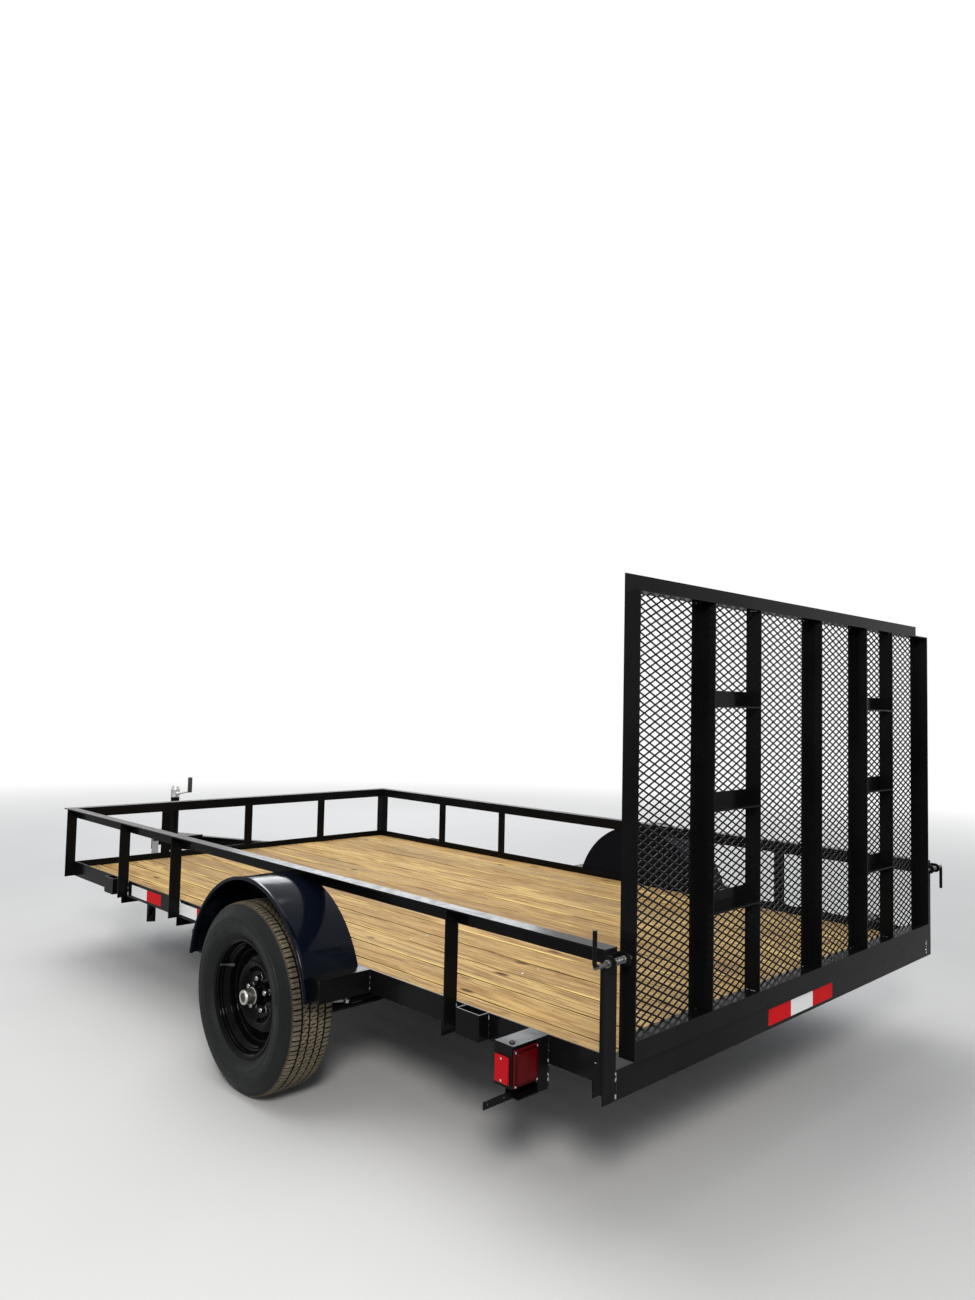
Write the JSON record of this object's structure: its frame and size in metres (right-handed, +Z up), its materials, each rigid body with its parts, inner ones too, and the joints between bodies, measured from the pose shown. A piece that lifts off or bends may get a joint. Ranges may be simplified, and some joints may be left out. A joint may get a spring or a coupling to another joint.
{
  "type": "utility trailer",
  "caption": "Open single-axle utility trailer with a timber deck, angle-iron side rails, an expanded-metal ramp gate at the rear and a tongue jack.",
  "frame": {"origin": "middle of the bounding box in plan, on the ground", "axes": "+X forward, towards the coupler; +Y to the trailer's left; +Z up"},
  "size_m": [4.9809, 2.58, 1.743],
  "materials": {
    "frame_paint": "semi-gloss black",
    "fender_paint": "gloss black",
    "rim_paint": "gloss black",
    "pine": "planed, treated pine",
    "tyre": "dusty rubber",
    "bright_zinc": "zinc plated",
    "red_lens": "clear red lens"
  },
  "bodies": {
    "chassis": {"side_member_left": "frame_paint", "side_member_right": "frame_paint", "front_member": "frame_paint", "rear_member": "frame_paint", "tongue_leg_left": "frame_paint", "tongue_leg_right": "frame_paint", "crossmembers": "frame_paint", "top_rail_left": "frame_paint", "top_rail_right": "frame_paint", "top_rail_front": "frame_paint", "posts_left": "frame_paint", "posts_right": "frame_paint", "front_posts": "frame_paint", "rear_corner_posts": "frame_paint", "stake_pockets": "frame_paint", "outriggers": "frame_paint", "axle": "frame_paint", "leaf_springs": "frame_paint", "spring_hangers": "frame_paint", "light_boxes": "frame_paint", "plate_strap": "frame_paint", "coupler": "frame_paint", "jack_tube": "frame_paint", "gate_hinge_ears": "frame_paint", "deck_boards": "pine", "fender_left": "fender_paint", "fender_right": "fender_paint", "axle_clamps": "bright_zinc", "gate_latches": "bright_zinc", "coupler_latch": "bright_zinc", "jack_head": "bright_zinc", "lenses": "red_lens"},
    "wheel_left": {"tyre_left": "tyre", "rim_left": "rim_paint", "hub_left": "bright_zinc"},
    "wheel_right": {"tyre_right": "tyre", "rim_right": "rim_paint", "hub_right": "bright_zinc"},
    "gate": {"gate_sides": "frame_paint", "gate_top_rail": "frame_paint", "gate_bottom_rail": "frame_paint", "gate_runners": "frame_paint", "gate_mesh_rising": "frame_paint", "gate_mesh_falling": "frame_paint"},
    "jack_leg": {"jack_leg": "bright_zinc"}
  },
  "joints": [
    {"name": "wheel_left_spin", "type": "hinge", "parent": "chassis", "child": "wheel_left", "pos_m": [-0.9835, 1.1875, 0.33], "axis": [0, 1, 0], "continuous": true},
    {"name": "wheel_right_spin", "type": "hinge", "parent": "chassis", "child": "wheel_right", "pos_m": [-0.9835, -1.1875, 0.33], "axis": [0, 1, 0], "continuous": true},
    {"name": "gate_swing", "type": "hinge", "parent": "chassis", "child": "gate", "pos_m": [-2.4645, 0, 0.48], "axis": [0, -1, 0], "range_deg": [0, 110]},
    {"name": "jack_slide", "type": "slide", "parent": "chassis", "child": "jack_leg", "axis": [0, 0, 1], "range_m": [0, 0.24]}
  ]
}
